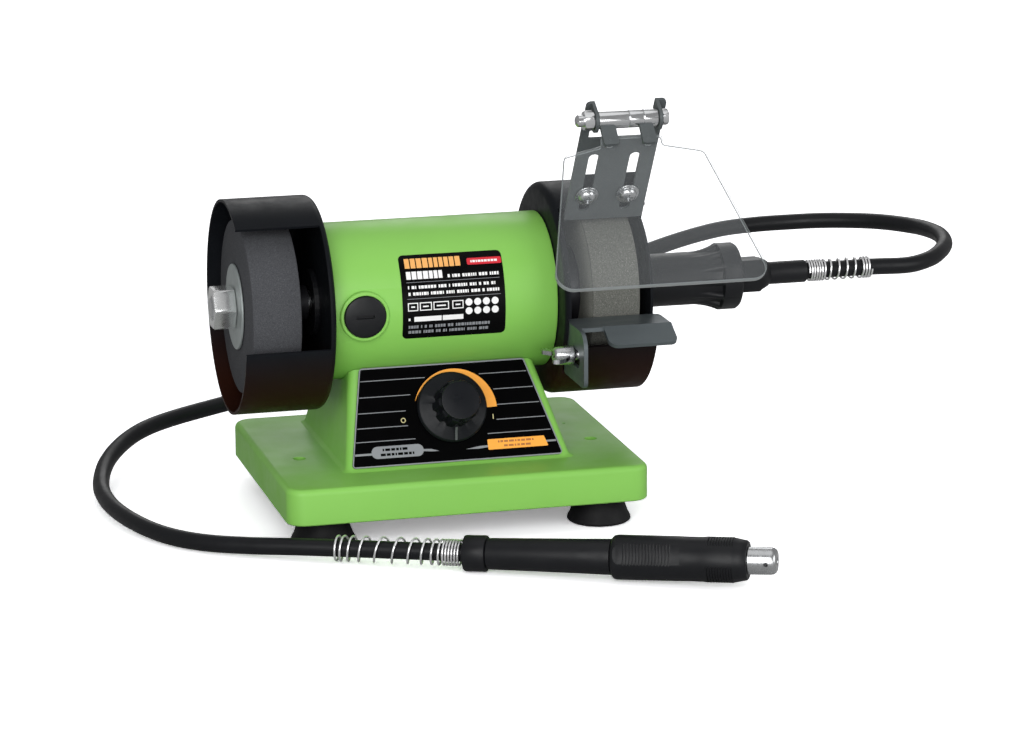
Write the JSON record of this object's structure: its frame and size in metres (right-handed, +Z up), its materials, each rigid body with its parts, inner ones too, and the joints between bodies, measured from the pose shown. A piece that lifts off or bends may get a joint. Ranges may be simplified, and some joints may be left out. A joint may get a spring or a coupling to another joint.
{
  "type": "bench grinder",
  "caption": "Small bench grinder with guarded wheels, clear hinged eye shield, tool rest, speed knob and a flexible shaft with a rotary handpiece.",
  "frame": {"origin": "on the floor under the middle of the base plate", "axes": "+X along the spindle towards the flexible shaft, +Y to the back, +Z up"},
  "size_m": [0.4036, 0.2888, 0.1863],
  "materials": {
    "green_paint": "satin enamel over a cast surface",
    "black_paint": "satin black enamel",
    "black_plastic": "moulded, finely textured",
    "rubber": "soft and matte",
    "panel_print": "printed film on a plate",
    "zinc_steel": "zinc-plated sheet and turned steel",
    "bright_hardware": "bright plated",
    "grey_sheet": "matte grey phosphate",
    "clear_sheet": "clear polished sheet",
    "dark_abrasive": "bonded grit, dark grey",
    "light_abrasive": "bonded grit, warm grey",
    "cast_aluminium": "as cast",
    "laminations": "varnished electrical steel",
    "copper": "turned copper",
    "brass": "turned brass",
    "carbon": "pressed carbon",
    "circuit_board": "green laminate with parts"
  },
  "bodies": {
    "grinder": {"base_casting": "green_paint", "motor_housing": "green_paint", "guard_left": "black_paint", "guard_right": "black_paint", "cover_right": "black_paint", "base_bottom_cover": "black_paint", "brush_cap_front": "black_plastic", "brush_cap_rear": "black_plastic", "coupler_body": "black_plastic", "coupler_ferrule": "black_plastic", "handpiece_collar": "black_plastic", "handpiece_sleeve": "black_plastic", "handpiece_body": "black_plastic", "mains_gland": "black_plastic", "foot_front_left": "rubber", "foot_front_right": "rubber", "foot_rear_left": "rubber", "foot_rear_right": "rubber", "flexible_shaft": "rubber", "control_panel": "panel_print", "bearing_left": "zinc_steel", "bearing_right": "zinc_steel", "spring_machine_end": "zinc_steel", "bracket_screw_left": "bright_hardware", "bracket_screw_right": "bright_hardware", "spring_handpiece_end": "bright_hardware", "end_bell_left": "cast_aluminium", "end_bell_right": "cast_aluminium", "potentiometer_body": "cast_aluminium", "stator": "laminations", "brush_holder_front": "brass", "brush_holder_rear": "brass", "brush_front": "carbon", "brush_rear": "carbon", "speed_board": "circuit_board"},
    "spindle": {"spindle": "zinc_steel", "armature": "laminations", "commutator": "copper", "wheel_left": "dark_abrasive", "wheel_right": "light_abrasive", "flange_left_outer": "zinc_steel", "flange_left_inner": "zinc_steel", "flange_right_inner": "zinc_steel", "flange_right_outer": "zinc_steel", "nut_left": "bright_hardware", "nut_right": "zinc_steel"},
    "speed_knob": {"speed_knob": "black_plastic", "potentiometer_shaft": "brass"},
    "tool_rest": {"tool_rest": "zinc_steel"},
    "wing_bolt": {"wing_bolt": "bright_hardware"},
    "shield_bracket": {"shield_bracket": "grey_sheet", "hinge_rod": "bright_hardware", "hinge_nut": "bright_hardware"},
    "eye_shield": {"shield_holder": "zinc_steel", "eye_shield": "clear_sheet"},
    "handpiece_nose": {"handpiece_nose": "zinc_steel"}
  },
  "joints": [
    {"name": "spindle_spin", "type": "hinge", "parent": "grinder", "child": "spindle", "pos_m": [0, 0, 0.094], "axis": [1, 0, 0], "continuous": true},
    {"name": "handpiece_spin", "type": "hinge", "parent": "grinder", "child": "handpiece_nose", "pos_m": [0.09649, -0.16346, 0.01198], "axis": [0.8845, -0.4651, 0.035], "continuous": true},
    {"name": "speed_turn", "type": "hinge", "parent": "grinder", "child": "speed_knob", "pos_m": [-0.001, -0.03155, 0.05072], "axis": [0, 0.9157, -0.4019], "range_deg": [0, 270]},
    {"name": "rest_slide", "type": "slide", "parent": "grinder", "child": "tool_rest", "axis": [0, 1, 0], "range_m": [-0.004, 0.0006]},
    {"name": "wing_bolt_turn", "type": "hinge", "parent": "grinder", "child": "wing_bolt", "pos_m": [0.043, -0.052, 0.0756], "axis": [1, 0, 0], "range_deg": [-180, 0]},
    {"name": "bracket_slide", "type": "slide", "parent": "grinder", "child": "shield_bracket", "axis": [0, -0.549, 0.8358], "range_m": [-0.0023, 0.0075]},
    {"name": "shield_tilt", "type": "hinge", "parent": "shield_bracket", "child": "eye_shield", "pos_m": [0.0692, -0.06214, 0.17857], "axis": [1, 0, 0], "range_deg": [-95, 20]}
  ],
  "couplings": [
    {"joint": "handpiece_spin", "follows": "spindle_spin", "ratio": 1}
  ]
}
